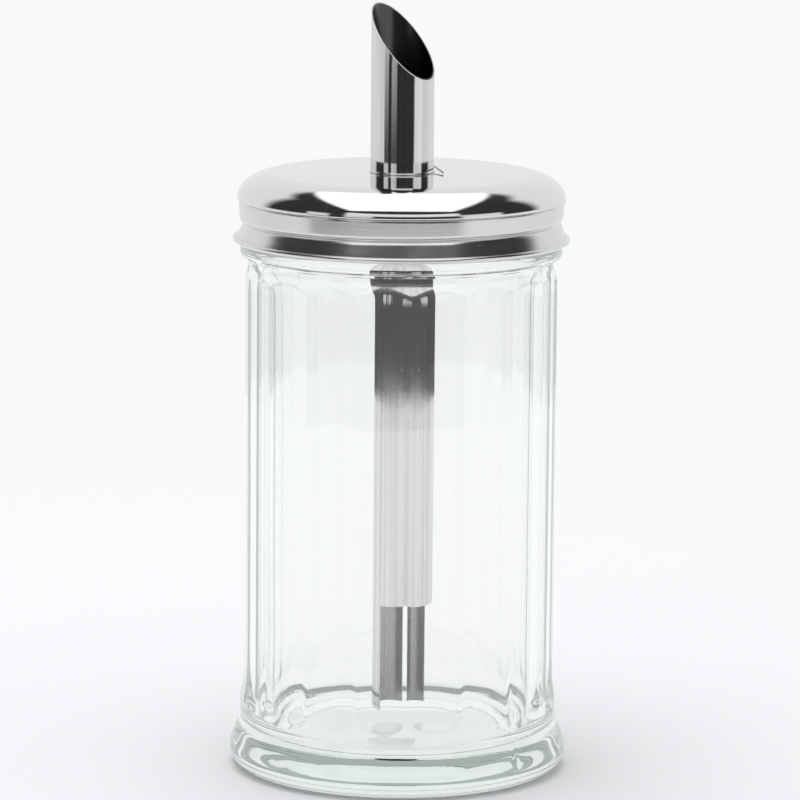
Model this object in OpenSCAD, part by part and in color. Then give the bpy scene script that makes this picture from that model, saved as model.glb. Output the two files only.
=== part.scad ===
// Sugar dispenser: panelled glass jar, screw-on steel lid, pouring tube and a check flap inside it.
// The origin is at the centre of the foot, +Z is up and the viewer stands on the -Y side.

/* [Jar] */
// Radius at the ridges between the panels
ridge_r = 35.6; // [35:0.1:38]
// Number of flat panels round the body
panel_count = 18; // [14:1:22]
// Turn of the first panel from the +X axis
panel_turn = 4; // [0:1:20]
// Height where the panels start to run out into the foot
panel_start_z = 17; // [16:1:30]
// Radius of the curve that ends each panel in an arch
panel_runout_r = 16; // [12:1:24]
// How far the foot stands out past the ridges
foot_flare = 3; // [2:0.1:5]
// Height of the foot's widest point
foot_z = 4; // [3:0.5:6]
// Height of the flare from the widest point up to the body
foot_flare_h = 9; // [7:0.5:12]
// Rounding of the foot's lower edge
foot_round = 4.6; // [3:0.1:6]
// Width of the ring that the jar stands on
rest_w = 6; // [3:0.5:8]
// Height of the hollow under the foot
push_up_h = 1.2; // [0.5:0.1:2.5]
// Thickness of the glass floor
floor_t = 6.4; // [4:0.2:9]
// Thickness of the glass wall at the middle of a panel
wall_t = 2.7; // [1.8:0.1:3.4]
// Radius between the inner wall and the floor
floor_fillet_r = 6.4; // [3:0.2:10]
// Height of the lower edge of the shoulder
shoulder_z = 110.5; // [70:1:140]
// Height of the shoulder curve
shoulder_h = 7; // [4:0.5:9]
// How far the glass bead stands out past the neck
neck_bead_w = 1.6; // [0.8:0.1:2.5]
// Height of the glass bead
neck_bead_h = 2.2; // [1.6:0.1:4]
// How far the neck stands in from the ridges
neck_step = 0.6; // [0.4:0.1:1]
// Thickness of the glass at the neck
neck_t = 3.4; // [2.4:0.1:4.2]
// Height of the neck above the bead
neck_h = 15; // [14.8:0.1:17]
// Rounding of the rim's outer edge
rim_round = 1.6; // [0.8:0.1:2]

/* [Thread] */
// Rise of the thread in one turn
pitch = 4.2; // [3.8:0.1:4.8]
// Turns of the ridge moulded on the glass
glass_turns = 1.25; // [0.75:0.25:1.25]
// Width of the glass ridge where it leaves the neck
glass_ridge_w = 2; // [1.4:0.1:2.2]
// Turns of the groove rolled into the lid
lid_turns = 1; // [0.75:0.25:1]
// Depth of the groove rolled into the lid
groove_depth = 0.9; // [0.6:0.1:1.1]
// Width of the groove at the lid's surface
groove_w = 2.3; // [1.8:0.1:2.6]
// Clearance between each thread and the wall that it runs along
thread_gap = 0.5; // [0.3:0.05:0.55]
// Height of the rolled groove at the front, above the lid's lower edge
groove_z = 5.4; // [5.2:0.1:6.4]

/* [Lid] */
// Thickness of the sheet steel
sheet_t = 0.5; // [0.3:0.05:0.7]
// Height of the skirt from the curled edge to the crease under the dome
skirt_h = 10.3; // [10:0.1:11]
// Height of the tuck where the dome rolls in to that crease
tuck_h = 1.7; // [1:0.1:2]
// How far the dome stands out past the skirt
dome_lip = 0.4; // [0.2:0.1:0.6]
// How far the skirt widens from the groove down to the curled edge
skirt_flare = 0.4; // [0.2:0.1:0.5]
// Width of the dome's rounded shoulder
dome_w = 7.9; // [6.5:0.1:9]
// Radius of the curled lower edge
curl_r = 0.75; // [0.6:0.05:1]
// Gap between the glass bead and the curled edge
lid_lift = 0.7; // [0.5:0.1:1.2]

/* [Seal] */
// Width of the flat ring of the seal
seal_w = 7.3; // [4:0.1:9]
// Thickness of the seal
seal_t = 1.8; // [1.4:0.1:2.4]

/* [Tube] */
// Outer radius of the pouring tube
tube_r = 7.2; // [6.8:0.1:8]
// Wall of the pouring tube
tube_t = 0.45; // [0.3:0.05:0.6]
// Height of the middle of the slanted mouth above the lid
mouth_h = 29.5; // [24:0.5:45]
// Tilt of the mouth from level
mouth_tilt = 49.7; // [30:0.1:58]
// Turn of the mouth's low side from the +X axis
mouth_turn = -37; // [-180:1:180]
// Gap between the tube's lower end and the glass floor
dose_gap = 4.7; // [3:0.1:15]
// Height of the half-cut window at the tube's lower end
window_h = 25.8; // [10:0.2:40]
// Height of the bead where the tube stands on the lid
tube_bead_h = 0.5; // [0.3:0.1:0.8]
// How far that bead stands out
tube_bead_w = 0.4; // [0.2:0.1:0.6]
// Width of the ring that locks the tube under the lid
lock_w = 4.3; // [2:0.1:7]
// Thickness of the lock ring
lock_t = 0.8; // [0.5:0.1:1.5]

/* [Flap] */
// Clearance between the flap's edge and the bore
flap_gap = 0.45; // [0.35:0.05:0.6]
// Thickness of the flap
flap_t = 0.4; // [0.3:0.05:0.5]
// Distance of the hinge from the tube's axis
hinge_y = 4.6; // [4.2:0.1:4.8]
// Radius of the hinge wire
wire_r = 0.3; // [0.2:0.05:0.35]
// Length of the flap's rolled eye
eye_w = 4; // [3:0.1:5]
// Clearance of the wire in the rolled eye
wire_gap = 0.05; // [0.03:0.01:0.08]
// Length of the wire's free end that curls round the tube
tail_len = 8.2; // [4:0.1:9]
// Turn of the wire's bend outside the tube
tail_turn = 75; // [60:1:80]
// Width of the ledge that the flap rests on
ledge_w = 1.4; // [1:0.1:2]
// Height of the ledge
ledge_h = 0.8; // [0.5:0.1:1.5]

/* [Hidden] */
$fn = 96;

// Clearance of parts that are pressed together, and overlap of cuts past a face
push_fit = 0.02;
past = 1;

// Jar
neck_r = ridge_r - neck_step;
apothem = ridge_r * cos(180 / panel_count);
body_r = ridge_r + 0.6;
foot_r = ridge_r + foot_flare;
inner_r = apothem - wall_t;
floor_z = push_up_h + floor_t;
flare_top_z = foot_z + foot_flare_h;
rest_in_r = foot_r - foot_round - rest_w;
bead_z = shoulder_z + shoulder_h;
neck_z = bead_z + neck_bead_h;
rim_z = neck_z + neck_h;
rim_h = 3 * rim_round;
throat_r = neck_r - neck_t;
waist_r = neck_r - 0.6;

// Lid
skirt_in_r = neck_r + thread_gap + groove_depth;
skirt_r = skirt_in_r + sheet_t;
dome_r = skirt_r + dome_lip;
lid_z = neck_z + lid_lift;
curl_z = lid_z + curl_r;
crease_z = lid_z + skirt_h;
dome_z = crease_z + tuck_h;
roof_z = rim_z + seal_t;
crown_z = roof_z + sheet_t;
crown_r = dome_r - dome_w;
crown_h = crown_z - dome_z;
groove_mid_z = lid_z + groove_z;

// Seal
seal_r = neck_r - rim_round - 0.1;
seal_in_r = seal_r - seal_w;
seal_edge_h = 0.5;
seal_top_r = crown_r - 1;

// Tube, flap and wire
bore_r = tube_r - tube_t;
tube_z = floor_z + dose_gap;
mouth_z = crown_z + mouth_h;
window_z = tube_z + window_h;
tip_z = mouth_z + tube_r * tan(mouth_tilt);
bead_gap = 0.15;
hinge_z = crown_z + tube_bead_h + bead_gap + wire_r;
eye_in_r = wire_r + wire_gap;
eye_r = eye_in_r + flap_t;
flap_r = bore_r - flap_gap;
flap_z = hinge_z - eye_r;
stub = 0.5;
wire_x = sqrt(tube_r * tube_r - hinge_y * hinge_y) + stub;
bend_r = 4 * wire_r;
bend_end = [wire_x + bend_r * sin(tail_turn), hinge_y - bend_r * (1 - cos(tail_turn)), hinge_z];
tail_clear = 0.05;
tail_drop = hinge_z - crown_z - wire_r - tail_clear;

// Points of an elliptical arc in the half-plane that is turned about the axis
function arc(r, z, rr, rz, from, to, n = 12) =
    [for (i = [0 : n]) let (a = from + (to - from) * i / n) [r + rr * cos(a), z + rz * sin(a)]];

// Points of an S-shaped curve that leaves and arrives upright
function ogee(r0, z0, r1, z1, n = 10) =
    [for (i = [0 : n]) [r0 + (r1 - r0) * (1 - cos(180 * i / n)) / 2, z0 + (z1 - z0) * i / n]];

// Ridge or groove swept along a right-hand helix, mid_z high at the front and fading out at both ends
module helix_band(root_r, crest_r, root_w, crest_w, mid_z, turns, start) {
    steps = ceil(turns * 40);
    fade_steps = 3;
    least = 0.1;
    function part_way(i) = max(least, min(1, min(i, steps - i) / fade_steps));
    function corner(i, r, dz) =
        let (a = start + 360 * turns * i / steps)
        [r * cos(a), r * sin(a), mid_z + pitch * (a - 270) / 360 + dz];
    function ring(i) =
        let (k = part_way(i), r = root_r + (crest_r - root_r) * k)
        [corner(i, root_r, -root_w / 2 * k), corner(i, r, -crest_w / 2 * k),
         corner(i, r, crest_w / 2 * k), corner(i, root_r, root_w / 2 * k)];
    corners = [for (i = [0 : steps]) each ring(i)];
    sides = [for (i = [0 : steps - 1], j = [0 : 3])
        let (a = 4 * i + j, b = 4 * i + (j + 1) % 4)
        each [[a, b, b + 4], [a, b + 4, a + 4]]];
    last = 4 * steps;
    faces = concat([[3, 2, 1, 0]], sides, [[last, last + 1, last + 2, last + 3]]);
    inward = crest_r < root_r;
    polyhedron(corners, [for (f = faces) inward ? [for (k = [len(f) - 1 : -1 : 0]) f[k]] : f]);
}

// Joins the rings of a loft, listed from end to end, with a cap on each end; corners is one ring's count
module loft(rings, corners) {
    last = corners * (len(rings) - 1);
    sides = [for (i = [0 : len(rings) - 2], j = [0 : corners - 1])
        let (a = corners * i + j, b = corners * i + (j + 1) % corners)
        each [[a, b + corners, b], [a, a + corners, b + corners]]];
    caps = [[for (j = [0 : corners - 1]) j], [for (j = [corners - 1 : -1 : 0]) last + j]];
    polyhedron([for (ring = rings) each ring], concat(caps, sides));
}

// Flat-sided body that trims the round glass to its panels: straight above, curving out over the foot
module panel_body() {
    steps = 4;
    half_turn = 35;
    clear_r = foot_r + 6;
    function ring(r, z) =
        [for (i = [0 : panel_count - 1])
            let (a = panel_turn + 360 * (i + 0.5) / panel_count)
            [r * cos(a), r * sin(a), z]];
    runout = [for (i = [steps : -1 : 0])
        let (a = half_turn * i / steps, flat_r = apothem + panel_runout_r * (1 - cos(a)))
        ring(flat_r / cos(180 / panel_count), panel_start_z - panel_runout_r * sin(a))];
    low_z = panel_start_z - panel_runout_r * sin(half_turn);
    loft(concat(
        [ring(clear_r, -past), ring(clear_r, low_z)],
        runout,
        [ring(ridge_r, bead_z - 0.2), ring(clear_r, bead_z - 0.2), ring(clear_r, rim_z + past)]),
        panel_count);
}

module jar_outside() {
    rotate_extrude()
        polygon(concat(
            [[0, 0]],
            arc(foot_r - foot_round, foot_z, foot_round, foot_z, -90, 0),
            ogee(foot_r, foot_z, body_r, flare_top_z, 7),
            ogee(body_r, shoulder_z, waist_r, bead_z),
            arc(neck_r, bead_z + neck_bead_h / 2, neck_bead_w, neck_bead_h / 2, -90, 90),
            arc(neck_r - rim_round, rim_z - rim_h, rim_round, rim_h, 0, 90),
            [[0, rim_z]]));
}

module jar_inside() {
    rotate_extrude()
        polygon(concat(
            [[0, floor_z]],
            arc(inner_r - floor_fillet_r, floor_z + floor_fillet_r, floor_fillet_r, floor_fillet_r, -90, 0),
            ogee(inner_r, shoulder_z, throat_r, bead_z),
            [[throat_r, rim_z + past], [0, rim_z + past]]));
    rotate_extrude()
        polygon([[0, -past], [rest_in_r + past * 2, -past], [rest_in_r - 2, push_up_h], [0, push_up_h]]);
}

module jar() {
    color([0.86, 0.93, 0.91, 0.35])
        difference() {
            union() {
                intersection() {
                    jar_outside();
                    panel_body();
                }
                helix_band(neck_r - 0.6, skirt_in_r - thread_gap, glass_ridge_w + 0.6, glass_ridge_w / 2,
                    groove_mid_z + pitch / 2, glass_turns, 0);
            }
            jar_inside();
        }
}

module lid_shell() {
    bore = tube_r + push_fit;
    band_z = groove_mid_z - groove_w / 2 - pitch / 4;
    rotate_extrude()
        polygon(concat(
            [[skirt_in_r + skirt_flare, curl_z], [skirt_r + skirt_flare, curl_z],
             [skirt_r, band_z], [skirt_r, crease_z]],
            arc(crown_r, dome_z, dome_w, crown_h, 0, 90),
            [[bore, crown_z], [bore, roof_z]],
            arc(crown_r, dome_z, dome_w - sheet_t, crown_h - sheet_t, 90, 0),
            [[skirt_in_r, crease_z], [skirt_in_r, band_z]]));
    rotate_extrude()
        translate([skirt_r + skirt_flare + curl_r - sheet_t / 2, curl_z]) circle(curl_r);
}

module lid_cap() {
    start = 270 - 180 * lid_turns;
    crest_w = 0.7;
    outside = 0.3;
    inside = sheet_t / 2;
    color("silver")
        difference() {
            union() {
                lid_shell();
                helix_band(skirt_in_r + inside, skirt_in_r - groove_depth, groove_w + 0.5, crest_w + 0.4,
                    groove_mid_z, lid_turns, start);
            }
            helix_band(skirt_r + outside, skirt_r - groove_depth, groove_w + outside, crest_w,
                groove_mid_z, lid_turns, start);
        }
}

module seal_ring() {
    color("whitesmoke")
        rotate_extrude()
            polygon([
                [seal_in_r, rim_z], [seal_r, rim_z], [seal_r, rim_z + seal_edge_h],
                [seal_top_r, roof_z - 0.4], [seal_top_r, roof_z], [seal_in_r, roof_z]]);
}

module tube_outside() {
    translate([0, 0, tube_z]) cylinder(r = tube_r, h = tip_z - tube_z + past);
    rotate_extrude()
        polygon(concat(
            [[tube_r - tube_t / 2, crown_z]],
            arc(tube_r, crown_z + tube_bead_h / 2, tube_bead_w, tube_bead_h / 2, -90, 90, 8),
            [[tube_r - tube_t / 2, crown_z + tube_bead_h]]));
}

// Everything above the slanted plane of the mouth
module above_mouth() {
    size = 4 * tube_r;
    translate([0, 0, mouth_z])
        rotate([0, mouth_tilt, 0])
            translate([-size / 2, -size / 2, 0]) cube(size);
}

// The half of the lower end that is cut away
module dose_window() {
    translate([0, -2 * tube_r, tube_z - past]) cube([2 * tube_r, 4 * tube_r, window_h + past]);
}

module wire_hole() {
    translate([-2 * tube_r, hinge_y, hinge_z])
        rotate([0, 90, 0]) cylinder(r = wire_r + push_fit, h = 4 * tube_r);
}

module pour_tube() {
    color("silver")
        difference() {
            tube_outside();
            translate([0, 0, tube_z - past]) cylinder(r = bore_r, h = tip_z - tube_z + 3 * past);
            rotate([0, 0, mouth_turn]) above_mouth();
            rotate([0, 0, mouth_turn]) dose_window();
            wire_hole();
        }
}

module plain_ring(outer_r, inner_r, low_z, h) {
    translate([0, 0, low_z])
        difference() {
            cylinder(r = outer_r, h = h);
            translate([0, 0, -past]) cylinder(r = inner_r, h = h + 2 * past);
        }
}

module lock_ring() {
    color("gray") plain_ring(tube_r + lock_w, tube_r + push_fit, roof_z - lock_t, lock_t);
}

module flap_seat() {
    color("gray") plain_ring(bore_r - push_fit, bore_r - ledge_w, flap_z - push_fit - ledge_h, ledge_h);
}

// The wire's free end: out of the pin, round the bend and down to the lid
module wire_tail() {
    sides = 12;
    steps = 5;
    r = wire_r - push_fit;
    tail = [tail_len * cos(tail_turn), -tail_len * sin(tail_turn), -tail_drop];
    function ring(at, turn, r) =
        [for (j = [0 : sides - 1])
            let (a = 360 * (j + 0.5) / sides)
            at + r * [sin(turn) * cos(a), cos(turn) * cos(a), sin(a)]];
    bend = [for (i = [0 : steps])
        let (a = tail_turn * i / steps)
        ring([wire_x + bend_r * sin(a), hinge_y - bend_r * (1 - cos(a)), hinge_z], a, r)];
    loft(concat(
        [ring([wire_x - stub / 2, hinge_y, hinge_z], 0, r)],
        bend,
        [ring(bend_end + 0.96 * tail, tail_turn, r), ring(bend_end + tail, tail_turn, 0.5 * r)]),
        sides);
}

// Straight through the tube, bent round at one end and lying down on the lid
module hinge_wire() {
    color("dimgray") {
        translate([-wire_x, hinge_y, hinge_z])
            rotate([0, 90, 0]) cylinder(r = wire_r, h = 2 * wire_x);
        wire_tail();
    }
}

module flap() {
    color("silver")
        difference() {
            union() {
                translate([0, 0, flap_z])
                    intersection() {
                        cylinder(r = flap_r, h = flap_t);
                        translate([-flap_r, hinge_y - 2 * flap_r, -past])
                            cube([2 * flap_r, 2 * flap_r, flap_t + 2 * past]);
                    }
                translate([-eye_w / 2, hinge_y, hinge_z]) rotate([0, 90, 0]) cylinder(r = eye_r, h = eye_w);
            }
            translate([-eye_w, hinge_y, hinge_z]) rotate([0, 90, 0]) cylinder(r = eye_in_r, h = 2 * eye_w);
        }
}

jar();
lid_cap();
seal_ring();
pour_tube();
lock_ring();
flap_seat();
hinge_wire();
flap();
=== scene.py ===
"""Sugar dispenser: panelled glass jar, screw-on steel lid, slanted pouring tube and a check flap inside it.

Every length in the tables of profile points is in millimetres; the meshes are made in metres.
"""
import math

import bmesh
import bpy
from bpy.props import FloatProperty, FloatVectorProperty, IntProperty, PointerProperty
from bpy.types import Operator, Panel, PropertyGroup
from mathutils import Matrix, Quaternion, Vector, noise


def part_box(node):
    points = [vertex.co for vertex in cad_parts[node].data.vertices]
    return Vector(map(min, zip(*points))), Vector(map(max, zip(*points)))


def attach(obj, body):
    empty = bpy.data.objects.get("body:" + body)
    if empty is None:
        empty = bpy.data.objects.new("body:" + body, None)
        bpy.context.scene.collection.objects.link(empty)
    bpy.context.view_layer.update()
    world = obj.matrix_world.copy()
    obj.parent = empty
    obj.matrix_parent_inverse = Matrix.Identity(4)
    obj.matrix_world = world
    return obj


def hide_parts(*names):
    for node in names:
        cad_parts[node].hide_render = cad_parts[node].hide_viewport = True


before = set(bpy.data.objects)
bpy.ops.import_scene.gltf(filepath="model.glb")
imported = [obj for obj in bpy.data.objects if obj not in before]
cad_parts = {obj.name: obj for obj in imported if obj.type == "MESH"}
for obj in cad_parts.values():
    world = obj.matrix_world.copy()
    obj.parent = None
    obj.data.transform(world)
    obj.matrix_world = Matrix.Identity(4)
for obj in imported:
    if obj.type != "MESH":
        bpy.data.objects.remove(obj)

bl_info = {
    "name": "Sugar Dispenser",
    "version": (1, 0, 0),
    "blender": (4, 5, 0),
    "location": "View3D > Sidebar > Dispenser",
    "description": "Builds a panelled glass sugar dispenser with a steel pouring lid",
    "category": "Object",
}

MM = 0.001
FLOOR_DROP = 0.05 * MM
TUBE_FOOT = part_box("pour_tube")[0][2] / MM
LID_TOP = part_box("lid_cap")[1][2] / MM

# Jar, in millimetres and degrees
PANEL_START, PANEL_RUNOUT = 22.0, 20.0
PANELS_TOP = 118.2
SEAM_TURNS, SEAM_WIDTH = (-45, 135), 0.5
THREAD_MIDDLE, THREAD_PITCH, THREAD_SWEEP, THREAD_DEPTH = 127.9, 4.2, 450, 0.9

# Lid and tube, in millimetres
SHEET = 0.45
GROOVE_FOOT, GROOVE_HEAD = (122.6, 125), (127.2, 130.3)
TUBE_STOCK_TOP = 178

# Materials
BRIGHT_STEEL = (0.78, 0.775, 0.77)
# Heights in metres over which the painted shade in the tube's bore grows to its full strength
BORE_SHADE_SPAN = (0.06, 0.14)
GLASS_IOR = 1.5
LOST_LIGHT = (0.25, 0.265, 0.255)

# Stage, in metres
FLOOR_RADIUS, FLOOR_FRONT = 3.0, -0.64
CAMERA_PLACE, LOOK_AT, LENS, SENSOR = (0, -1.097, 0.2735), (0, 0, 0.0846), 219.7, 36
LAMP_PLACE, LAMP_SIZE, LAMP_TILT = (-0.15, 0.1, 1.3), (0.9, 1.4), (math.radians(4), math.radians(-6), 0)


class JarSettings(PropertyGroup):
    ridge_radius: FloatProperty(
        name="Ridge radius", description="Distance of the ridges between the panels from the axis",
        default=35.6 * MM, unit="LENGTH")
    panel_count: IntProperty(name="Panels", description="Number of flat panels round the body", default=18)
    panel_turn: FloatProperty(
        name="Panel turn", description="Turn of the first panel from the X axis",
        default=math.radians(4), subtype="ANGLE")
    wall_wave: FloatProperty(
        name="Wall unevenness", description="How far the moulded inner wall wanders in and out",
        default=0.16 * MM, unit="LENGTH")
    seam_height: FloatProperty(
        name="Mould seam", description="Height of the two fine seams that the mould left",
        default=0.09 * MM, unit="LENGTH")
    glass_tint: FloatVectorProperty(
        name="Glass tint", description="Colour that thick glass takes on",
        default=(0.8, 0.865, 0.825), size=3, subtype="COLOR", min=0, max=1)
    tint_depth: FloatProperty(
        name="Tint density", description="How fast the tint gathers with the thickness of the glass",
        default=12.0)


class LidSettings(PropertyGroup):
    groove_rise: FloatProperty(
        name="Groove rise", description="Rise of the rolled groove in one turn",
        default=1.6 * MM, unit="LENGTH")
    steel_colour: FloatVectorProperty(
        name="Steel", description="Colour of the bright sheet steel",
        default=BRIGHT_STEEL, size=3, subtype="COLOR", min=0, max=1)
    dome_roughness: FloatProperty(
        name="Dome polish", description="Roughness of the polished dome", default=0.07)
    skirt_roughness: FloatProperty(
        name="Skirt polish", description="Roughness of the satin skirt", default=0.19)


class SealSettings(PropertyGroup):
    seal_colour: FloatVectorProperty(
        name="Seal", description="Colour of the soft seal", default=(0.76, 0.77, 0.76), size=3,
        subtype="COLOR", min=0, max=1)


class TubeSettings(PropertyGroup):
    outer_radius: FloatProperty(
        name="Tube radius", description="Outer radius of the pouring tube", default=7.2 * MM, unit="LENGTH")
    wall: FloatProperty(
        name="Tube wall", description="Wall of the pouring tube", default=0.45 * MM, unit="LENGTH")
    mouth_middle: FloatProperty(
        name="Mouth height", description="Height of the middle of the slanted mouth",
        default=166.5 * MM, unit="LENGTH")
    mouth_tilt: FloatProperty(
        name="Mouth tilt", description="Tilt of the mouth from level",
        default=math.radians(49.7), subtype="ANGLE")
    mouth_turn: FloatProperty(
        name="Mouth turn", description="Turn of the mouth's low side from the X axis",
        default=math.radians(-37), subtype="ANGLE")
    window_top: FloatProperty(
        name="Window top", description="Height of the top of the half-cut lower end",
        default=38.1 * MM, unit="LENGTH")


class FlapSettings(PropertyGroup):
    disc_radius: FloatProperty(
        name="Flap radius", description="Radius of the check flap", default=6.3 * MM, unit="LENGTH")
    hinge_offset: FloatProperty(
        name="Hinge offset", description="Distance of the hinge from the tube's axis",
        default=4.6 * MM, unit="LENGTH")
    hinge_height: FloatProperty(
        name="Hinge height", description="Height of the hinge wire", default=137.95 * MM, unit="LENGTH")
    wire_radius: FloatProperty(
        name="Wire radius", description="Radius of the hinge wire", default=0.2 * MM, unit="LENGTH")


class StageSettings(PropertyGroup):
    backdrop: FloatVectorProperty(
        name="Backdrop", description="Colour behind the object", default=(0.935, 0.95, 0.96), size=3,
        subtype="COLOR", min=0, max=1)
    floor_colour: FloatVectorProperty(
        name="Floor", description="Colour of the floor near the object", default=(0.88, 0.89, 0.91), size=3,
        subtype="COLOR", min=0, max=1)
    fill_level: FloatProperty(
        name="Fill light", description="Strength of the light from all round", default=0.82)
    glass_lift: FloatProperty(
        name="Light through glass", description="How far the room seen through glass is lifted to white",
        default=0.8, min=0, max=1)
    mirrored_lift: FloatProperty(
        name="Light mirrored in glass",
        description="The same lift where metal behind the glass mirrors the room", default=0.05, min=0, max=1)
    lamp_power: FloatProperty(
        name="Overhead lamp", description="Power of the soft lamp overhead", default=6.0)
    camera_roll: FloatProperty(
        name="Camera roll", description="Turn of the camera about its own line of sight",
        default=math.radians(0.5), subtype="ANGLE")


def arc(r, z, radius_r, radius_z, start, end, steps):
    """Points of an elliptical arc in the half-plane that is turned about the axis."""
    points = []
    for i in range(steps + 1):
        a = math.radians(start + (end - start) * i / steps)
        points.append((r + radius_r * math.cos(a), z + radius_z * math.sin(a)))
    return points


def ogee(r0, z0, r1, z1, steps):
    """Points of an S-shaped curve that leaves and arrives upright."""
    return [(r0 + (r1 - r0) * (1 - math.cos(math.pi * i / steps)) / 2, z0 + (z1 - z0) * i / steps)
            for i in range(steps + 1)]


def straight(r0, z0, r1, z1, steps):
    """Points of a straight line, without its first point."""
    return [(r0 + (r1 - r0) * i / steps, z0 + (z1 - z0) * i / steps) for i in range(1, steps + 1)]


def smooth_step(low, high, x):
    """0 at low, 1 at high and level at both."""
    t = min(1.0, max(0.0, (x - low) / (high - low)))
    return t * t * (3 - 2 * t)


def soft_min(a, b, width):
    """Smaller of two values, with the change from one to the other rounded over a width."""
    h = max(width - abs(a - b), 0.0) / width
    return min(a, b) - h * h * width / 4


def spin_profile(bm, points, steps, closed=True):
    """Turns a profile of (radius, height) points in millimetres once round the axis."""
    verts = [bm.verts.new((r * MM, 0, z * MM)) for r, z in points]
    edges = [bm.edges.new(pair) for pair in zip(verts, verts[1:])]
    if closed:
        edges.append(bm.edges.new((verts[-1], verts[0])))
    bmesh.ops.spin(bm, geom=verts + edges, cent=(0, 0, 0), axis=(0, 0, 1), dvec=(0, 0, 0),
                   angle=math.tau, steps=steps, use_merge=True, use_duplicate=False)
    bmesh.ops.remove_doubles(bm, verts=bm.verts, dist=2e-6)


def tube_along(bm, points, radii, sides):
    """Closed round rod through the points."""
    rings = []
    for i, (point, radius) in enumerate(zip(points, radii)):
        before, after = points[max(0, i - 1)], points[min(len(points) - 1, i + 1)]
        turn = (after - before).to_track_quat("Z", "Y").to_matrix().to_4x4()
        ends = i in (0, len(points) - 1)
        made = bmesh.ops.create_circle(bm, cap_ends=ends, segments=sides, radius=radius,
                                       matrix=Matrix.Translation(point) @ turn)
        ring = set(made["verts"])
        rings.append([e for e in bm.edges if e.verts[0] in ring and e.verts[1] in ring])
    for one, two in zip(rings, rings[1:]):
        bmesh.ops.bridge_loops(bm, edges=one + two)


def finish_mesh(bm, name, material, body, replaced, smooth_angle=35):
    """Cleans the mesh and makes it a piece that rides on its body."""
    bmesh.ops.remove_doubles(bm, verts=bm.verts, dist=1e-6)
    bmesh.ops.recalc_face_normals(bm, faces=bm.faces)
    limit = math.radians(smooth_angle)
    for face in bm.faces:
        face.smooth = True
    for edge in bm.edges:
        edge.smooth = len(edge.link_faces) == 2 and edge.calc_face_angle(0) < limit
    if any(not edge.is_manifold for edge in bm.edges):
        raise RuntimeError(name + " isn't closed")
    mesh = bpy.data.meshes.new(name)
    bm.to_mesh(mesh)
    bm.free()
    mesh.materials.append(material)
    piece = bpy.data.objects.new(name, mesh)
    bpy.context.scene.collection.objects.link(piece)
    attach(piece, body)
    for node in replaced:
        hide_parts(node)
    return piece


def new_group(name, inputs, outputs):
    """Empty shader node group with named number inputs and outputs."""
    group = bpy.data.node_groups.new(name, "ShaderNodeTree")
    for label, value in inputs:
        socket = group.interface.new_socket(name=label, in_out="INPUT", socket_type="NodeSocketFloat")
        socket.default_value = value
    for label in outputs:
        group.interface.new_socket(name=label, in_out="OUTPUT", socket_type="NodeSocketFloat")
    return group, group.nodes.new("NodeGroupInput"), group.nodes.new("NodeGroupOutput")


def feed(tree, socket, value):
    """Sets a socket to a number, or links another socket to it."""
    if isinstance(value, (int, float)):
        socket.default_value = value
    else:
        tree.links.new(value, socket)


def maths(tree, operation, *values, clamp=False):
    """Math node whose inputs are numbers or sockets."""
    node = tree.nodes.new("ShaderNodeMath")
    node.operation = operation
    node.use_clamp = clamp
    for socket, value in zip(node.inputs, values):
        feed(tree, socket, value)
    return node.outputs[0]


def ramp_value(tree, value, low, high, out_low, out_high):
    """Smooth Map Range from one span to another."""
    node = tree.nodes.new("ShaderNodeMapRange")
    node.interpolation_type = "SMOOTHSTEP"
    tree.links.new(value, node.inputs["Value"])
    for label, number in (("From Min", low), ("From Max", high), ("To Min", out_low), ("To Max", out_high)):
        feed(tree, node.inputs[label], number)
    return node.outputs["Result"]


def mix_colours(tree, factor, first, second):
    """Mix of two colours by a factor; each colour is three numbers or a socket."""
    node = tree.nodes.new("ShaderNodeMix")
    node.data_type = "RGBA"
    tree.links.new(factor, node.inputs["Factor"])
    for label, colour in (("A", first), ("B", second)):
        if isinstance(colour, bpy.types.NodeSocket):
            tree.links.new(colour, node.inputs[label])
        else:
            node.inputs[label].default_value = (*colour, 1)
    return node.outputs["Result"]


def mix_shaders(tree, factor, first, second):
    node = tree.nodes.new("ShaderNodeMixShader")
    tree.links.new(factor, node.inputs["Fac"])
    tree.links.new(first, node.inputs[1])
    tree.links.new(second, node.inputs[2])
    return node.outputs[0]


def add_bump(tree, shader, height, strength, distance):
    node = tree.nodes.new("ShaderNodeBump")
    node.inputs["Strength"].default_value = strength
    node.inputs["Distance"].default_value = distance
    tree.links.new(height, node.inputs["Height"])
    tree.links.new(node.outputs["Normal"], shader.inputs["Normal"])


def shade(colour, share):
    return [part * share for part in colour]


def scaled_position(tree, scale):
    """Object coordinates, stretched by a scale."""
    place = tree.nodes.new("ShaderNodeTexCoord")
    mapping = tree.nodes.new("ShaderNodeMapping")
    mapping.inputs["Scale"].default_value = scale
    tree.links.new(place.outputs["Object"], mapping.inputs["Vector"])
    return mapping.outputs["Vector"]


def noise_value(tree, scale, detail, spread=(1, 1, 1)):
    node = tree.nodes.new("ShaderNodeTexNoise")
    node.inputs["Scale"].default_value = scale
    node.inputs["Detail"].default_value = detail
    tree.links.new(scaled_position(tree, spread), node.inputs["Vector"])
    return node.outputs["Fac"]


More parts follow.
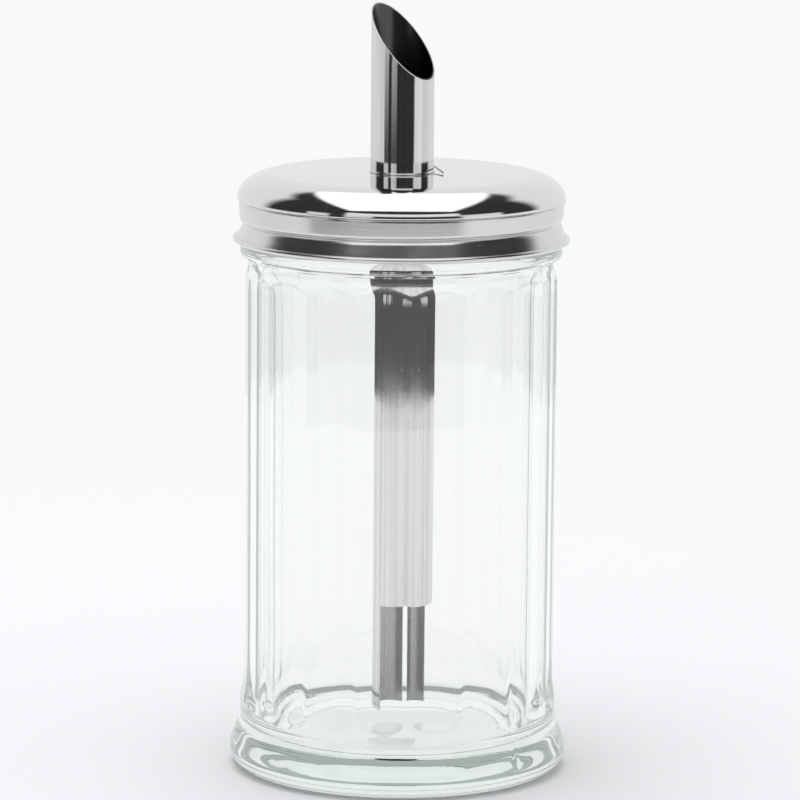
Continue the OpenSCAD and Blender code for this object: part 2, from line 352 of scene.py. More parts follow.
def handled_group():
    """Faint smears and dust specks that handling leaves on bright metal."""
    found = bpy.data.node_groups.get("handled_surface")
    if found:
        return found
    group, inner, out = new_group(
        "handled_surface", [("Smear", 0.04), ("Specks", 0.08)], ["Roughness Added", "Darkening"])
    smear = ramp_value(group, noise_value(group, 60, 4), 0.48, 0.72, 0, 1)
    speck = ramp_value(group, noise_value(group, 900, 1), 0.73, 0.78, 0, 1)
    rough = maths(group, "ADD", maths(group, "MULTIPLY", smear, inner.outputs["Smear"]),
                  maths(group, "MULTIPLY", speck, inner.outputs["Specks"]))
    group.links.new(rough, out.inputs["Roughness Added"])
    group.links.new(maths(group, "MULTIPLY", speck, inner.outputs["Specks"]), out.inputs["Darkening"])
    return group


def lines_group():
    """Fine lines that polishing leaves round a turned part or along a drawn one."""
    found = bpy.data.node_groups.get("polish_lines")
    if found:
        return found
    group, inner, out = new_group("polish_lines", [("Round", 1.0), ("Along", 0.0)], ["Height"])
    round_lines = noise_value(group, 1, 3, (14, 14, 5200))
    along_lines = noise_value(group, 1, 3, (4200, 4200, 14))
    total = maths(group, "ADD", maths(group, "MULTIPLY", round_lines, inner.outputs["Round"]),
                  maths(group, "MULTIPLY", along_lines, inner.outputs["Along"]))
    group.links.new(total, out.inputs["Height"])
    return group


def new_material(name):
    material = bpy.data.materials.new(name)
    material.use_nodes = True
    return material, material.node_tree, material.node_tree.nodes["Principled BSDF"]


def steel_material(name, colour, roughness, smear=0.04, specks=0.08, round_lines=1.0, along_lines=0.0,
                   line_depth=0.02, satin=None, dull_and_shaded_bore=None, painted_reflection_streaks=0.0):
    """Bright steel: smears and specks in its roughness and polishing lines in its bump.

    satin is (height, roughness, colour share) of a satin zone below a height in millimetres.
    dull_and_shaded_bore is (radius, colour share, how much of it shows low down) of a bore that is rougher
    and also darkened with painted shade.
    """
    material, tree, shader = new_material(name)
    handled = tree.nodes.new("ShaderNodeGroup")
    handled.node_tree = handled_group()
    handled.inputs["Smear"].default_value = smear
    handled.inputs["Specks"].default_value = specks
    shown = mix_colours(tree, handled.outputs["Darkening"], colour, shade(colour, 0.35))
    place = tree.nodes.new("ShaderNodeTexCoord")
    split = tree.nodes.new("ShaderNodeSeparateXYZ")
    tree.links.new(place.outputs["Object"], split.inputs["Vector"])
    x, y, z = (split.outputs[label] for label in "XYZ")
    # Painted reflection: dark vertical streaks in the colour stand in for the bands of room that a polished
    # tube mirrors along its length.
    if painted_reflection_streaks:
        reflection_streak_mask = ramp_value(tree, noise_value(tree, 1, 4, (620, 620, 5)), 0.35, 0.7, 0.0, painted_reflection_streaks)
        shown = mix_colours(tree, reflection_streak_mask, shown, shade(colour, 0.45))
    # Painted shade: inside the bore the colour is darkened to a small share of the steel, with less of it low
    # down.
    if dull_and_shaded_bore:
        radius, share, low_share = dull_and_shaded_bore
        reach = maths(tree, "SQRT", maths(
            tree, "ADD", maths(tree, "POWER", x, 2.0), maths(tree, "POWER", y, 2.0)))
        bore = maths(tree, "LESS_THAN", reach, radius)
        painted_bore_shade = maths(tree, "MULTIPLY", bore, ramp_value(tree, z, *BORE_SHADE_SPAN, low_share, 1.0))
        shown = mix_colours(tree, painted_bore_shade, shown, shade(colour, share))
    level = roughness
    if satin:
        height, satin_roughness, share = satin
        change = (height - 0.2) * MM, (height + 0.2) * MM
        grey = [part * share * warm for part, warm in zip(colour, (1, 0.98, 0.965))]
        shown = mix_colours(tree, ramp_value(tree, z, *change, 0.0, 1.0), grey, shown)
        level = ramp_value(tree, z, *change, satin_roughness, roughness)
    tree.links.new(shown, shader.inputs["Base Color"])
    rough = maths(tree, "ADD", level, handled.outputs["Roughness Added"], clamp=True)
    if dull_and_shaded_bore:
        rough = maths(tree, "ADD", rough, maths(tree, "MULTIPLY", bore, 0.22), clamp=True)
    tree.links.new(rough, shader.inputs["Roughness"])
    lines = tree.nodes.new("ShaderNodeGroup")
    lines.node_tree = lines_group()
    lines.inputs["Round"].default_value = round_lines
    lines.inputs["Along"].default_value = along_lines
    add_bump(tree, shader, lines.outputs["Height"], line_depth, 0.1 * MM)
    shader.inputs["Metallic"].default_value = 1
    return material


def glass_material(tint, density):
    """Clear pressed glass with slow waves in its skin and a faint tint where it is thick."""
    material, tree, shader = new_material("clear_glass")
    shader.inputs["Base Color"].default_value = (1, 1, 1, 1)
    shader.inputs["Metallic"].default_value = 0
    shader.inputs["Transmission Weight"].default_value = 1
    shader.inputs["IOR"].default_value = GLASS_IOR
    rough = ramp_value(tree, noise_value(tree, 35, 3), 0.5, 0.8, 0.0, 0.02)
    tree.links.new(rough, shader.inputs["Roughness"])
    waves = maths(tree, "ADD", noise_value(tree, 70, 1, (1, 1, 0.35)),
                  maths(tree, "MULTIPLY", noise_value(tree, 320, 2), 0.06))
    add_bump(tree, shader, waves, 0.16, 0.3 * MM)
    # A ray that thick glass has mirrored four times is dropped: this stands in for the light it would bring.
    path = tree.nodes.new("ShaderNodeLightPath")
    fresnel = tree.nodes.new("ShaderNodeFresnel")
    fresnel.inputs["IOR"].default_value = GLASS_IOR
    trapped = maths(tree, "MULTIPLY", maths(tree, "GREATER_THAN", path.outputs["Glossy Depth"], 3.5),
                    fresnel.outputs["Fac"])
    tree.links.new(mix_colours(tree, trapped, (0, 0, 0), LOST_LIGHT), shader.inputs["Emission Color"])
    shader.inputs["Emission Strength"].default_value = 1
    absorb = tree.nodes.new("ShaderNodeVolumeAbsorption")
    absorb.inputs["Color"].default_value = (*tint, 1)
    absorb.inputs["Density"].default_value = density
    output = next(n for n in tree.nodes if n.type == "OUTPUT_MATERIAL")
    tree.links.new(absorb.outputs["Volume"], output.inputs["Volume"])
    return material


def seal_material(colour):
    """Soft matt plastic with a fine pebbled skin."""
    material, tree, shader = new_material("seal_plastic")
    tree.links.new(mix_colours(tree, noise_value(tree, 120, 3), colour, shade(colour, 0.86)),
                   shader.inputs["Base Color"])
    rough = ramp_value(tree, noise_value(tree, 300, 2), 0.2, 0.8, 0.45, 0.62)
    tree.links.new(rough, shader.inputs["Roughness"])
    add_bump(tree, shader, noise_value(tree, 1500, 2), 0.1, 0.05 * MM)
    return material


def jar_profile():
    """Section of the jar, from the middle of its underside round to the middle of its floor."""
    return (
        [(0, 1.25), (12, 1.3), (20, 1.25), (24, 1.1), (26.4, 0.75), (27.6, 0.3), (28.6, 0.06), (30, 0)]
        + [(32.5, 0)]
        + arc(34, 4, 4.6, 4, -90, 0, 12)
        + ogee(38.6, 4, 36.2, 13, 14)[1:]
        + straight(36.2, 13, 36.2, 18, 8)
        + straight(36.2, 18, 36.2, 109, 26)
        + ogee(36.2, 110.5, 34.4, 117.5, 14)
        + arc(35, 119.3, 1.6, 1.75, -80, 90, 14)
        + straight(35, 121.05, 35, 122.5, 2)
        + straight(35, 122.5, 35, 129.9, 20)
        + arc(33.4, 129.9, 1.6, 4.8, 8, 90, 8)
        + arc(32.1, 134.2, 0.5, 0.5, 90, 180, 4)
        + straight(31.6, 134.2, 31.6, 117.5, 8)
        + ogee(31.6, 117.5, 32.36, 110.5, 8)[1:]
        + straight(32.36, 110.5, 32.36, 14, 24)
        + arc(25.96, 14, 6.4, 6.4, 0, -90, 12)[1:]
        + straight(25.96, 7.6, 0, 7.5, 8))


def panel_distance(height, upper):
    """Distance of a panel's face from the axis at a height: straight above, curving out over the foot."""
    drop = min(max(0.0, PANEL_START - height), PANEL_RUNOUT * 0.999)
    return upper + PANEL_RUNOUT - math.sqrt(PANEL_RUNOUT ** 2 - drop * drop)


def glass_thread(turn, height):
    """How far the moulded thread stands out of the neck."""
    out = 0.0
    for whole in (0, 1):
        a = turn + 360 * whole
        if 0 <= a <= THREAD_SWEEP:
            middle = THREAD_MIDDLE + THREAD_PITCH * (a - 270) / 360
            fade = min(1.0, a / 25, (THREAD_SWEEP - a) / 25)
            out = max(out, THREAD_DEPTH * fade * (1 - smooth_step(0.4, 1.2, abs(height - middle))))
    return out


class DISPENSER_OT_jar(Operator):
    """Presses the glass jar with its panels, foot, bead and threaded neck"""
    bl_idname = "dispenser.jar"
    bl_label = "Make the jar"

    def execute(self, context):
        s = context.scene.dispenser_jar
        bm = bmesh.new()
        spin_profile(bm, jar_profile(), 360, closed=False)
        step = math.tau / s.panel_count
        upper = s.ridge_radius / MM * math.cos(step / 2)
        for vert in bm.verts:
            x, y, z = vert.co
            radius, turn = math.hypot(x, y) / MM, math.atan2(y, x)
            if radius < 1:
                continue
            height = z / MM
            if radius > 33 and height < PANELS_TOP:
                flat = panel_distance(height, upper)
                near = (turn - s.panel_turn + step / 2) % step - step / 2
                side = math.copysign(step, near) - near
                planes = soft_min(flat / math.cos(near), flat / math.cos(side), 0.12)
                new = soft_min(radius, planes, 0.3)
                for seam in SEAM_TURNS:
                    off = (turn - math.radians(seam) + math.pi) % math.tau - math.pi
                    new += s.seam_height / MM * math.exp(-(off * radius / SEAM_WIDTH) ** 2)
            elif radius > 33.2:
                new = radius + glass_thread(math.degrees(turn) % 360, height)
            elif radius > 29 and height > 9:
                wave = noise.noise(Vector((x * 26, y * 26, z * 9 + 4))) + 0.2 * math.cos(
                    s.panel_count * (turn - s.panel_turn))
                new = radius + s.wall_wave / MM * wave * smooth_step(9, 20, height) * (
                    1 - smooth_step(114, 120, height))
            else:
                new = radius
            vert.co.x *= new / radius
            vert.co.y *= new / radius
        material = glass_material(s.glass_tint, s.tint_depth)
        finish_mesh(bm, "glass_jar", material, "jar", ["jar"], 50)
        return {"FINISHED"}


def lid_outside():
    """Outer face of the lid from the tube's hole down to the curled edge."""
    return (
        [(7.22, LID_TOP), (12, LID_TOP - 0.01), (20, LID_TOP - 0.04), (26, LID_TOP - 0.1)]
        + arc(28.6, 130.97, 8.7, LID_TOP - 131.09, 88, 1, 26)
        + [(37.26, 130.95), (36.95, 130.88), (36.62, 130.83), (36.6, 130.77), (36.86, 130.68), (36.93, 130.5)]
        + straight(36.93, 130.5, 36.68, 127.1, 8)
        + [(36.66, 126.9), (36.58, 126.7), (36.42, 126.5), (36.1, 126.36), (35.75, 126.28), (35.62, 126.2)]
        + [(35.6, 126.08), (35.68, 125.92), (35.86, 125.72), (36.02, 125.5), (36.15, 125.25), (36.26, 125.0)]
        + straight(36.26, 125.0, 37.26, 122.45, 9))


def lid_inside(outside):
    """Inner face: a sheet under the dome, then the skirt's own wall down to the curl."""
    inside = []
    for r, z in outside[1:-1]:
        if z <= 136.4:
            r -= SHEET * smooth_step(136.6, 134.5, z)
        if z > 132:
            z -= SHEET
        if z > 122.9:
            inside.append((r - SHEET if z < 130.6 else min(r, 36.4), z))
    return inside


def groove_lift(turn, height, rise):
    """How far the rolled groove climbs at a turn; it runs level again behind, and the edges stay put."""
    a = turn if turn >= 90 else turn + 360
    level = (a - 270) / 360 * (1 - smooth_step(140, 178, abs(a - 270)))
    return rise * level * smooth_step(*GROOVE_FOOT, height) * (1 - smooth_step(*GROOVE_HEAD, height))


class DISPENSER_OT_lid(Operator):
    """Spins the sheet-steel lid with its dome, rolled groove and curled edge"""
    bl_idname = "dispenser.lid"
    bl_label = "Make the lid"

    def execute(self, context):
        s = context.scene.dispenser_lid
        outside = lid_outside()
        curl = arc(37.62, 121.92, 0.62, 0.62, 115, -190, 18)
        section = outside + curl + lid_inside(outside)[::-1] + [(7.22, LID_TOP - SHEET)]
        bm = bmesh.new()
        spin_profile(bm, section, 360)
        for vert in bm.verts:
            x, y, z = vert.co
            if math.hypot(x, y) / MM > 35:
                vert.co.z += groove_lift(math.degrees(math.atan2(y, x)) % 360, z / MM, s.groove_rise)
        material = steel_material("lid_steel", s.steel_colour, s.dome_roughness, smear=0.05, specks=0.1,
                                  line_depth=0.05, satin=(130.84, s.skirt_roughness, 0.95))
        finish_mesh(bm, "steel_lid", material, "lid", ["lid_cap"], 60)
        return {"FINISHED"}


class DISPENSER_OT_seal(Operator):
    """Spins the soft seal that lies between the lid and the glass rim"""
    bl_idname = "dispenser.seal"
    bl_label = "Make the seal"

    def execute(self, context):
        s = context.scene.dispenser_seal
        section = (
            [(26.2, 134.7), (33.1, 134.7), (33.3, 134.9), (33.3, 135.1), (33.1, 135.25)]
            + straight(33.1, 135.25, 28.6, 136.05, 4)
            + [(28.4, 136.2), (28.4, 136.4), (28.2, 136.5), (26.2, 136.5), (26, 136.3), (26, 134.9)])
        bm = bmesh.new()
        spin_profile(bm, section, 160)
        finish_mesh(bm, "soft_seal", seal_material(s.seal_colour), "seal", ["seal_ring"], 50)
        return {"FINISHED"}


def boundary_loops(bm):
    """Open edges of the mesh, grouped into loops."""
    left = {e for e in bm.edges if e.is_boundary}
    loops = []
    while left:
        loop, front = set(), [left.pop()]
        while front:
            edge = front.pop()
            loop.add(edge)
            for vert in edge.verts:
                for other in vert.link_edges:
                    if other in left:
                        left.discard(other)
                        front.append(other)
        loops.append(list(loop))
    return loops


class DISPENSER_OT_tube(Operator):
    """Cuts the pouring tube to its slanted mouth and half-open lower end"""
    bl_idname = "dispenser.tube"
    bl_label = "Make the pouring tube"

    def execute(self, context):
        s = context.scene.dispenser_tube
        outer, bore = s.outer_radius / MM, (s.outer_radius - s.wall) / MM
        low, high = TUBE_FOOT, TUBE_STOCK_TOP
        bm = bmesh.new()
        outer_wall = (
            [(outer, low)] + straight(outer, low, outer, LID_TOP, 40)
            + arc(outer, LID_TOP + 0.25, 0.22, 0.2, -90, 90, 8)
            + straight(outer, LID_TOP + 0.5, outer, high, 10))
        spin_profile(bm, outer_wall, 128, closed=False)
        spin_profile(bm, [(bore, low)] + straight(bore, low, bore, high, 50), 128, closed=False)
        low_side = Vector((math.cos(s.mouth_turn), math.sin(s.mouth_turn), 0))
        slant = (low_side * math.sin(s.mouth_tilt) + Vector((0, 0, math.cos(s.mouth_tilt)))).normalized()
        bmesh.ops.bisect_plane(bm, geom=bm.verts[:] + bm.edges[:] + bm.faces[:], dist=1e-7,
                               plane_co=(0, 0, s.mouth_middle), plane_no=slant, clear_outer=True)
        bmesh.ops.bisect_plane(bm, geom=bm.verts[:] + bm.edges[:] + bm.faces[:], dist=1e-7,
                               plane_co=(0, 0, s.window_top), plane_no=(0, 0, 1))
        lower = [f for f in bm.faces if f.calc_center_median().z < s.window_top]
        geom = set(lower)
        for face in lower:
            geom.update(face.edges)
            geom.update(face.verts)
        bmesh.ops.bisect_plane(bm, geom=list(geom), dist=1e-7, plane_co=(0, 0, 0), plane_no=low_side)
        cut = [f for f in bm.faces if f.calc_center_median().z < s.window_top
               and f.calc_center_median().dot(low_side) > 0]
        bmesh.ops.delete(bm, geom=cut, context="FACES")
        bmesh.ops.remove_doubles(bm, verts=bm.verts, dist=1e-6)
        loops = boundary_loops(bm)
        mouth = [loop for loop in loops if max(v.co.z for e in loop for v in e.verts) > s.mouth_middle]
        window = [loop for loop in loops if loop not in mouth]
        if len(mouth) != 2 or len(window) != 2:
            raise RuntimeError("the tube's ends don't pair up")
        bmesh.ops.triangle_fill(
            bm, use_beauty=True, use_dissolve=False, edges=mouth[0] + mouth[1], normal=slant)
        across, near = Vector((-low_side.y, low_side.x, 0)), 2e-6
        for on_part in (
                lambda p: abs(p.z - low * MM) < near,
                lambda p: abs(p.z - s.window_top) < near,
                lambda p: abs(p.dot(low_side)) < near and p.dot(across) > 0,
                lambda p: abs(p.dot(low_side)) < near and p.dot(across) < 0):
            bmesh.ops.bridge_loops(bm, edges=[
                e for e in window[0] + window[1] if all(on_part(v.co) for v in e.verts)])
        # Inside, the tube's bore is rougher and darkened with painted shade.
        # Its outside carries dark painted reflection streaks.
        material = steel_material("tube_steel", BRIGHT_STEEL, 0.05, smear=0.03, specks=0.1,
                                  round_lines=0.3, along_lines=1.0, line_depth=0.04,
                                  dull_and_shaded_bore=(s.outer_radius - 0.5 * s.wall, 0.12, 0.45), painted_reflection_streaks=0.4)
        finish_mesh(bm, "pouring_tube", material, "lid", ["pour_tube"], 40)
        return {"FINISHED"}


def ring_section(outer, inner, low, high, round_off):
    """Flat ring's section with eased corners."""
    q = round_off
    return [(inner + q, low), (outer - q, low), (outer, low + q), (outer, high - q), (outer - q, high),
            (inner + q, high), (inner, high - q), (inner, low + q)]


class DISPENSER_OT_lock_ring(Operator):
    """Spins the ring that locks the tube under the lid and the ledge for the flap"""
    bl_idname = "dispenser.lock_ring"
    bl_label = "Make the lock ring and the ledge"

    def execute(self, context):
        sheet = steel_material("sheet_steel", (0.66, 0.655, 0.65), 0.24, smear=0.08, line_depth=0.08)
        bm = bmesh.new()
        spin_profile(bm, ring_section(11.5, 7.22, 135.7, 136.5, 0.15), 128)
        finish_mesh(bm, "tube_lock_ring", sheet, "lid", ["lock_ring"], 30)
        bm = bmesh.new()
        spin_profile(bm, ring_section(6.73, 5.35, 136.38, 137.18, 0.1), 96)
        finish_mesh(bm, "flap_ledge", sheet, "lid", ["flap_seat"], 30)
        return {"FINISHED"}


class DISPENSER_OT_wire(Operator):
    """Bends the hinge wire through the tube and lays its free end on the lid"""
    bl_idname = "dispenser.wire"
    bl_label = "Make the hinge wire"

    def execute(self, context):
        s = context.scene.dispenser_flap
        y, z, r = s.hinge_offset, s.hinge_height, s.wire_radius
        bend, turn = 1.2 * MM, math.radians(75)
        reach, tail, sag = 6.04 * MM, 8.2 * MM, 0.6 * MM
        straight_part = (-reach, -reach + 0.1 * MM, -4 * MM, 0, 4 * MM, reach - 0.25 * MM)
        points = [Vector((x, y, z)) for x in straight_part]
        radii = [0.75 * r, r, r, r, r, r]
        for i in range(9):
            a = turn * i / 8
            points.append(Vector((reach + bend * math.sin(a), y - bend * (1 - math.cos(a)), z)))
            radii.append(0.93 * r)
        last = points[-1]
        for share in (0.25, 0.5, 0.75, 0.96, 1.0):
            points.append(last + share * Vector((tail * math.cos(turn), -tail * math.sin(turn), -sag)))
            radii.append(0.93 * r if share < 1 else 0.6 * r)
        bm = bmesh.new()
        tube_along(bm, points, radii, 14)
        material = steel_material("wire_steel", (0.34, 0.335, 0.33), 0.25, along_lines=0.0, line_depth=0.05)
        finish_mesh(bm, "hinge_wire_rod", material, "lid", ["hinge_wire"], 40)
        return {"FINISHED"}


class DISPENSER_OT_flap(Operator):
    """Stamps the check flap with its rolled eye"""
    bl_idname = "dispenser.flap"
    bl_label = "Make the flap"

    def execute(self, context):
        s = context.scene.dispenser_flap
        low, thick = s.hinge_height - 0.75 * MM, 0.4 * MM
        bm = bmesh.new()
        bmesh.ops.create_circle(bm, cap_ends=True, segments=72, radius=s.disc_radius,
                                matrix=Matrix.Translation((0, 0, low)))
        bmesh.ops.bisect_plane(bm, geom=bm.verts[:] + bm.edges[:] + bm.faces[:], dist=1e-7,
                               plane_co=(0, s.hinge_offset - 0.1 * MM, 0), plane_no=(0, 1, 0),
                               clear_outer=True)
        raised = bmesh.ops.extrude_face_region(bm, geom=bm.faces[:], use_keep_orig=True)
        bmesh.ops.translate(bm, verts=[g for g in raised["geom"] if isinstance(g, bmesh.types.BMVert)],
                            vec=(0, 0, thick))
        bmesh.ops.recalc_face_normals(bm, faces=bm.faces)
        rims = [e for e in bm.edges if e.calc_face_angle(0) > 1]
        bmesh.ops.bevel(bm, geom=rims, offset=0.06 * MM, offset_type="OFFSET", affect="EDGES", segments=2,
                        profile=0.5, material=-1, clamp_overlap=True)
        eye = bmesh.new()
        spin_profile(eye, ring_section(0.75, 0.36, -2, 2, 0.05), 32)
        bmesh.ops.rotate(eye, verts=eye.verts, cent=(0, 0, 0), matrix=Matrix.Rotation(math.pi / 2, 3, "Y"))
        bmesh.ops.translate(eye, verts=eye.verts, vec=(0, s.hinge_offset, s.hinge_height))
        rolled = bpy.data.meshes.new("rolled_eye")
        eye.to_mesh(rolled)
        eye.free()
        bm.from_mesh(rolled)
        bpy.data.meshes.remove(rolled)
        material = steel_material("flap_steel", (0.62, 0.615, 0.61), 0.22, smear=0.1, line_depth=0.1)
        finish_mesh(bm, "check_flap", material, "flap", ["flap"], 30)
        return {"FINISHED"}


def band_group():
    """Mask that is 1 between two values and fades softly outside them."""
    found = bpy.data.node_groups.get("soft_band")
    if found:
        return found
    group, inner, out = new_group(
        "soft_band", [("Value", 0), ("Low", 0), ("High", 1), ("Soft", 0.05)], ["Mask"])
    low, high, soft = (inner.outputs[label] for label in ("Low", "High", "Soft"))
    rise = ramp_value(group, inner.outputs["Value"], maths(group, "SUBTRACT", low, soft),
                      maths(group, "ADD", low, soft), 0.0, 1.0)
    fall = ramp_value(group, inner.outputs["Value"], maths(group, "SUBTRACT", high, soft),
                      maths(group, "ADD", high, soft), 1.0, 0.0)
    group.links.new(maths(group, "MULTIPLY", rise, fall), out.inputs["Mask"])
    return group


def band(tree, value, low, high, soft):
    node = tree.nodes.new("ShaderNodeGroup")
    node.node_tree = band_group()
    tree.links.new(value, node.inputs["Value"])
    for label, number in (("Low", low), ("High", high), ("Soft", soft)):
        feed(tree, node.inputs[label], number)
    return node.outputs["Mask"]


# What bright metal mirrors. Lit walls and the far table: turn from and to and height from and to, in degrees,
# then softness and level. Back wall: depth where it fades in, from and to, its top in degrees and its level.
# Softbox: half its width at the middle, how that tapers, its reach and its level.
ROOM_PARTS = (
    (-69, -52, -6, 15, 2, 0.75),
    (-40, -20, -6, 15, 2, 0.7),
    (42, 74, -6, 14, 3, 0.8),
    (-40, 42, 12, 26, 2, 0.9),
)
FAR_TABLE = ((44, 190, -40, 1, 1.5, 0.86), (-190, -68, -40, 1, 1.5, 0.8))
BACK_WALL = (0.2, 0.45, 46, 0.86)
SOFTBOX = (0.6, 0.27, 1.02, 1.3)
TABLE_REACH = 0.505
ROOM_LEVEL = 0.035


def mirrored_in_glass(tree, path, rise=None):
    """1 for what metal in the jar mirrors back out through the glass; with a rise, only near level."""
    mirrored = maths(tree, "MULTIPLY", maths(tree, "GREATER_THAN", path.outputs["Glossy Depth"], 0.5),
                     maths(tree, "GREATER_THAN", path.outputs["Transmission Depth"], 3.5))
    return mirrored if rise is None else maths(tree, "MULTIPLY", mirrored, band(tree, rise, -15, 1, 1.5))


def lifted_glass(tree, path, s, rise=None):
    """Lift towards white of what is seen through the glass: less where metal behind it mirrors the room."""
    lift = maths(tree, "ADD", s.glass_lift, maths(tree, "MULTIPLY", mirrored_in_glass(tree, path, rise),
                                                  s.mirrored_lift - s.glass_lift))
    return maths(tree, "MULTIPLY", path.outputs["Is Transmission Ray"], lift)


def background(tree, colour, strength):
    node = tree.nodes.new("ShaderNodeBackground")
    node.inputs["Color"].default_value = (*colour, 1)
    feed(tree, node.inputs["Strength"], strength)
    return node.outputs[0]


def make_room(world, s):
    """World whose light is even for the stage, and which shows bright metal and glass a studio room."""
    world.use_nodes = True
    tree = world.node_tree
    tree.nodes.clear()
    out = tree.nodes.new("ShaderNodeOutputWorld")
    place = tree.nodes.new("ShaderNodeTexCoord")
    split = tree.nodes.new("ShaderNodeSeparateXYZ")
    tree.links.new(place.outputs["Generated"], split.inputs["Vector"])
    x, y, z = (split.outputs[label] for label in "XYZ")
    turn = maths(tree, "DEGREES", maths(tree, "ARCTAN2", x, maths(tree, "MULTIPLY", y, -1.0)))
    rise = maths(tree, "DEGREES", maths(tree, "ARCSINE", z))
    path = tree.nodes.new("ShaderNodeLightPath")
    clear = maths(tree, "SUBTRACT", 1.0, mirrored_in_glass(tree, path, rise))
    level = 0.0
    for parts, shown in ((ROOM_PARTS, 1.0), (FAR_TABLE, clear)):
        for turn_low, turn_high, rise_low, rise_high, soft, strength in parts:
            part = maths(tree, "MULTIPLY", band(tree, turn, turn_low, turn_high, soft),
                         band(tree, rise, rise_low, rise_high, soft * 0.6))
            part = maths(tree, "MULTIPLY", maths(tree, "MULTIPLY", part, strength), shown)
            level = maths(tree, "MAXIMUM", level, part)
    from_y, to_y, top, strength = BACK_WALL
    wall = maths(tree, "MULTIPLY", ramp_value(tree, y, from_y, to_y, 0.0, strength),
                 band(tree, rise, maths(tree, "MULTIPLY", clear, -60.0), top, 4))
    level = maths(tree, "MAXIMUM", level, wall)
    up = maths(tree, "MAXIMUM", z, 0.01)
    across = maths(tree, "DIVIDE", x, up)
    along = maths(tree, "DIVIDE", y, up)
    middle_width, taper, reach, strength = SOFTBOX
    width = maths(tree, "SUBTRACT", middle_width, maths(tree, "MULTIPLY", along, taper))
    box = maths(tree, "MULTIPLY", band(tree, maths(tree, "DIVIDE", across, width), -1, 1, 0.07),
                band(tree, along, -reach, reach, 0.05))
    level = maths(tree, "MAXIMUM", level, maths(tree, "MULTIPLY", box, strength))
    level = maths(tree, "ADD", level, ROOM_LEVEL)
    through = lifted_glass(tree, path, s, rise)
    level = maths(tree, "ADD", maths(tree, "MULTIPLY", level, maths(tree, "SUBTRACT", 1.0, through)), through)
    room = background(tree, (0.97, 0.985, 1), level)
    fill = background(tree, (1, 1, 1), s.fill_level)
    seen = background(tree, s.backdrop, 1)
    mirrored = maths(tree, "MAXIMUM", path.outputs["Is Glossy Ray"], path.outputs["Is Transmission Ray"])
    surface = mix_shaders(tree, path.outputs["Is Camera Ray"], mix_shaders(tree, mirrored, fill, room), seen)
    tree.links.new(surface, out.inputs["Surface"])


def floor_material(s):
    """Pale floor that keeps the shadow near the object and runs into the plain backdrop further out.

    In bright metal it ends at the table's edge, so that the metal has the dark of the room to show.
    """
    material, tree, shader = new_material("pale_floor")
    grain = mix_colours(tree, noise_value(tree, 8, 2), s.floor_colour, shade(s.floor_colour, 0.985))
    tree.links.new(grain, shader.inputs["Base Color"])
    shader.inputs["Roughness"].default_value = 0.9
    shader.inputs["Specular IOR Level"].default_value = 0
    plain = tree.nodes.new("ShaderNodeEmission")
    plain.inputs["Color"].default_value = (*s.backdrop, 1)
    place = tree.nodes.new("ShaderNodeTexCoord")
    length = tree.nodes.new("ShaderNodeVectorMath")
    length.operation = "LENGTH"
    tree.links.new(place.outputs["Object"], length.inputs[0])
    path = tree.nodes.new("ShaderNodeLightPath")
    mirrored = maths(tree, "GREATER_THAN", path.outputs["Glossy Depth"], 0.5)
    tree.links.new(maths(tree, "ADD", 1.0, maths(tree, "MULTIPLY", mirrored, 0.05)), plain.inputs["Strength"])
    far = ramp_value(tree, length.outputs["Value"], 0.12, 0.55, 0.0, 1.0)
    far = maths(tree, "MAXIMUM", far, lifted_glass(tree, path, s))
    seen = maths(tree, "MAXIMUM", path.outputs["Is Camera Ray"],
                 maths(tree, "MAXIMUM", path.outputs["Is Glossy Ray"], path.outputs["Is Transmission Ray"]))
    surface = mix_shaders(tree, maths(tree, "MULTIPLY", far, seen), shader.outputs[0], plain.outputs[0])
    edge = maths(
        tree, "MULTIPLY", maths(tree, "GREATER_THAN", length.outputs["Value"], TABLE_REACH), mirrored)
    ended = mix_shaders(tree, edge, surface, tree.nodes.new("ShaderNodeBsdfTransparent").outputs[0])
    output = next(n for n in tree.nodes if n.type == "OUTPUT_MATERIAL")
    tree.links.new(ended, output.inputs["Surface"])
    return material


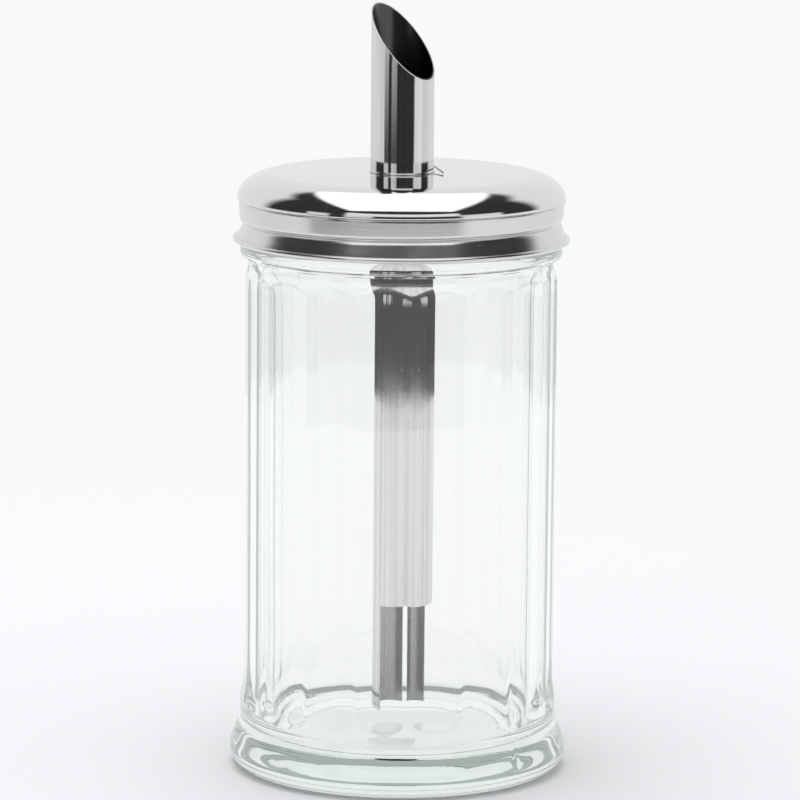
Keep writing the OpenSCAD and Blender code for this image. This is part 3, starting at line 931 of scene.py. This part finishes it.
class DISPENSER_OT_stage(Operator):
    """Lays the floor and sets the light, the room and the camera"""
    bl_idname = "dispenser.stage"
    bl_label = "Set the stage"

    def execute(self, context):
        scene = context.scene
        s = scene.dispenser_stage
        bm = bmesh.new()
        bmesh.ops.create_circle(bm, cap_ends=True, segments=96, radius=FLOOR_RADIUS)
        bmesh.ops.bisect_plane(bm, geom=bm.verts[:] + bm.edges[:] + bm.faces[:], dist=1e-6,
                               plane_co=(0, FLOOR_FRONT, 0), plane_no=(0.1, -1, 0), clear_outer=True)
        mesh = bpy.data.meshes.new("floor")
        bm.to_mesh(mesh)
        bm.free()
        mesh.transform(Matrix.Translation((0, 0, -FLOOR_DROP)))
        mesh.materials.append(floor_material(s))
        floor = bpy.data.objects.new("floor", mesh)
        scene.collection.objects.link(floor)

        light = bpy.data.lights.new("overhead_lamp", "AREA")
        light.shape = "RECTANGLE"
        light.size, light.size_y = LAMP_SIZE
        light.energy = s.lamp_power
        lamp = bpy.data.objects.new("overhead_lamp", light)
        lamp.location = LAMP_PLACE
        lamp.rotation_euler = LAMP_TILT
        lamp.visible_glossy = False
        lamp.visible_transmission = False
        lamp.visible_camera = False
        scene.collection.objects.link(lamp)

        world = bpy.data.worlds.new("studio_room")
        scene.world = world
        make_room(world, s)

        data = bpy.data.cameras.new("camera")
        data.lens = LENS
        data.sensor_width = SENSOR
        camera = bpy.data.objects.new("camera", data)
        camera.location = CAMERA_PLACE
        look = (Vector(LOOK_AT) - Vector(CAMERA_PLACE)).to_track_quat("-Z", "Y")
        camera.rotation_euler = (look @ Quaternion((0, 0, 1), s.camera_roll)).to_euler()
        scene.collection.objects.link(camera)
        scene.camera = camera
        scene.view_settings.view_transform = "Standard"
        return {"FINISHED"}


STEPS = (
    DISPENSER_OT_stage, DISPENSER_OT_jar, DISPENSER_OT_seal, DISPENSER_OT_lid, DISPENSER_OT_tube,
    DISPENSER_OT_lock_ring, DISPENSER_OT_wire, DISPENSER_OT_flap)
SETTINGS = (
    ("dispenser_jar", JarSettings), ("dispenser_lid", LidSettings), ("dispenser_seal", SealSettings),
    ("dispenser_tube", TubeSettings), ("dispenser_flap", FlapSettings), ("dispenser_stage", StageSettings))


class DISPENSER_PT_sidebar(Panel):
    """Sizes, colours and steps of the sugar dispenser"""
    bl_idname = "DISPENSER_PT_sidebar"
    bl_label = "Sugar dispenser"
    bl_space_type = "VIEW_3D"
    bl_region_type = "UI"
    bl_category = "Dispenser"

    def draw(self, context):
        for step in STEPS:
            self.layout.operator(step.bl_idname)
        for attribute, settings in SETTINGS:
            box = self.layout.box()
            for label in settings.__annotations__:
                box.prop(getattr(context.scene, attribute), label)


CLASSES = tuple(settings for _, settings in SETTINGS) + STEPS + (DISPENSER_PT_sidebar,)


def register():
    for cls in CLASSES:
        bpy.utils.register_class(cls)
    for attribute, settings in SETTINGS:
        setattr(bpy.types.Scene, attribute, PointerProperty(type=settings))


def unregister():
    for attribute, _ in SETTINGS:
        delattr(bpy.types.Scene, attribute)
    for cls in reversed(CLASSES):
        bpy.utils.unregister_class(cls)


def main():
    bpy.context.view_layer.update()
    register()
    for step in STEPS:
        group, name = step.bl_idname.split(".")
        getattr(getattr(bpy.ops, group), name)()


if __name__ == "__main__":
    main()
